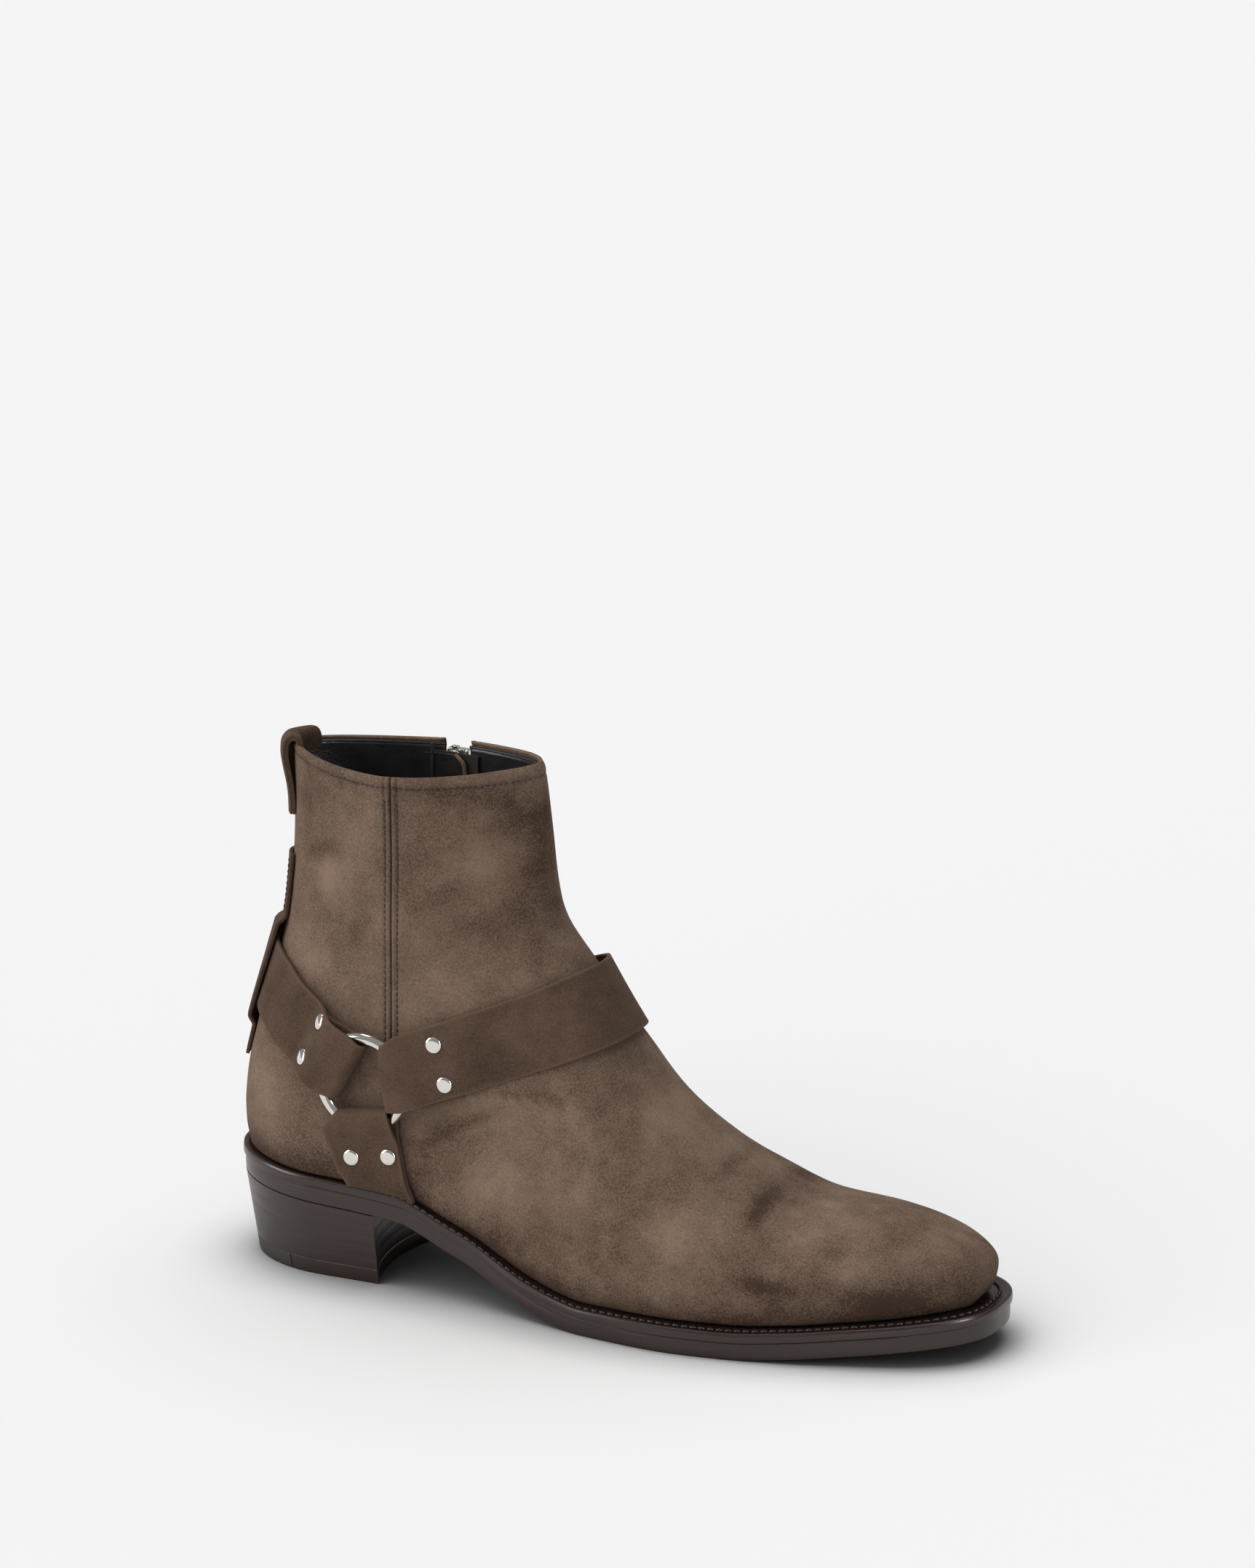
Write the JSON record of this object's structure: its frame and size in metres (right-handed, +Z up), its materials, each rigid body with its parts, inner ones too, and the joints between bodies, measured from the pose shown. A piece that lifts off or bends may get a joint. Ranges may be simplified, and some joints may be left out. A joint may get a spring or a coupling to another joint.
{
  "type": "biker boot",
  "caption": "Right suede ankle boot with a leather sole and a stacked heel, harness straps riveted round a ring on each side, and a zip on the inner side.",
  "frame": {"origin": "centre of the boot's bounding box in plan, on the floor under the sole", "axes": "+X to the toe, +Y to the wearer's left, which is the inner side of this right boot, +Z up"},
  "size_m": [0.304, 0.1018, 0.2027],
  "materials": {
    "suede": "matt nap",
    "strap_suede": "matt nap",
    "lining_leather": "satin",
    "insole_leather": "satin",
    "welt_leather": "satin",
    "sole_leather": "waxed",
    "heel_leather": "waxed",
    "heel_rubber": "matt",
    "ring_metal": "polished nickel",
    "rivet_metal": "polished nickel",
    "zip_fabric": "woven",
    "zip_metal": "polished nickel"
  },
  "bodies": {
    "boot": {"outsole": "sole_leather", "welt": "welt_leather", "insole": "insole_leather", "heel_stack": "heel_leather", "heel_lift": "heel_leather", "heel_tip": "heel_rubber", "upper": "suede", "strap_instep": "strap_suede", "strap_heel": "strap_suede", "strap_side_lateral": "strap_suede", "strap_side_medial": "strap_suede", "rivet_heel_upper_lateral": "rivet_metal", "rivet_heel_lower_lateral": "rivet_metal", "rivet_instep_upper_lateral": "rivet_metal", "rivet_instep_lower_lateral": "rivet_metal", "rivet_side_back_lateral": "rivet_metal", "rivet_side_front_lateral": "rivet_metal", "rivet_heel_upper_medial": "rivet_metal", "rivet_heel_lower_medial": "rivet_metal", "rivet_instep_upper_medial": "rivet_metal", "rivet_instep_lower_medial": "rivet_metal", "rivet_side_back_medial": "rivet_metal", "rivet_side_front_medial": "rivet_metal", "back_keeper": "strap_suede", "pull_loop": "suede", "zip_tape": "zip_fabric", "zip_guard": "lining_leather", "zip_chain": "zip_metal", "zip_slider": "zip_metal"},
    "outer_ring": {"ring_lateral": "ring_metal"},
    "inner_ring": {"ring_medial": "ring_metal"},
    "pull_tab": {"zip_pull": "zip_metal"}
  },
  "joints": [
    {"name": "outer_ring_turn", "type": "hinge", "parent": "boot", "child": "outer_ring", "pos_m": [-0.08596, -0.03818, 0.0815], "axis": [0.008, -1, 0], "continuous": true},
    {"name": "inner_ring_turn", "type": "hinge", "parent": "boot", "child": "inner_ring", "pos_m": [-0.08604, 0.03601, 0.0815], "axis": [-0.008, 1, 0], "continuous": true},
    {"name": "pull_tab_swing", "type": "hinge", "parent": "boot", "child": "pull_tab", "pos_m": [-0.07736, 0.02975, 0.18793], "axis": [0.9971, -0.0756, -0.0005], "range_deg": [0, 160]}
  ]
}
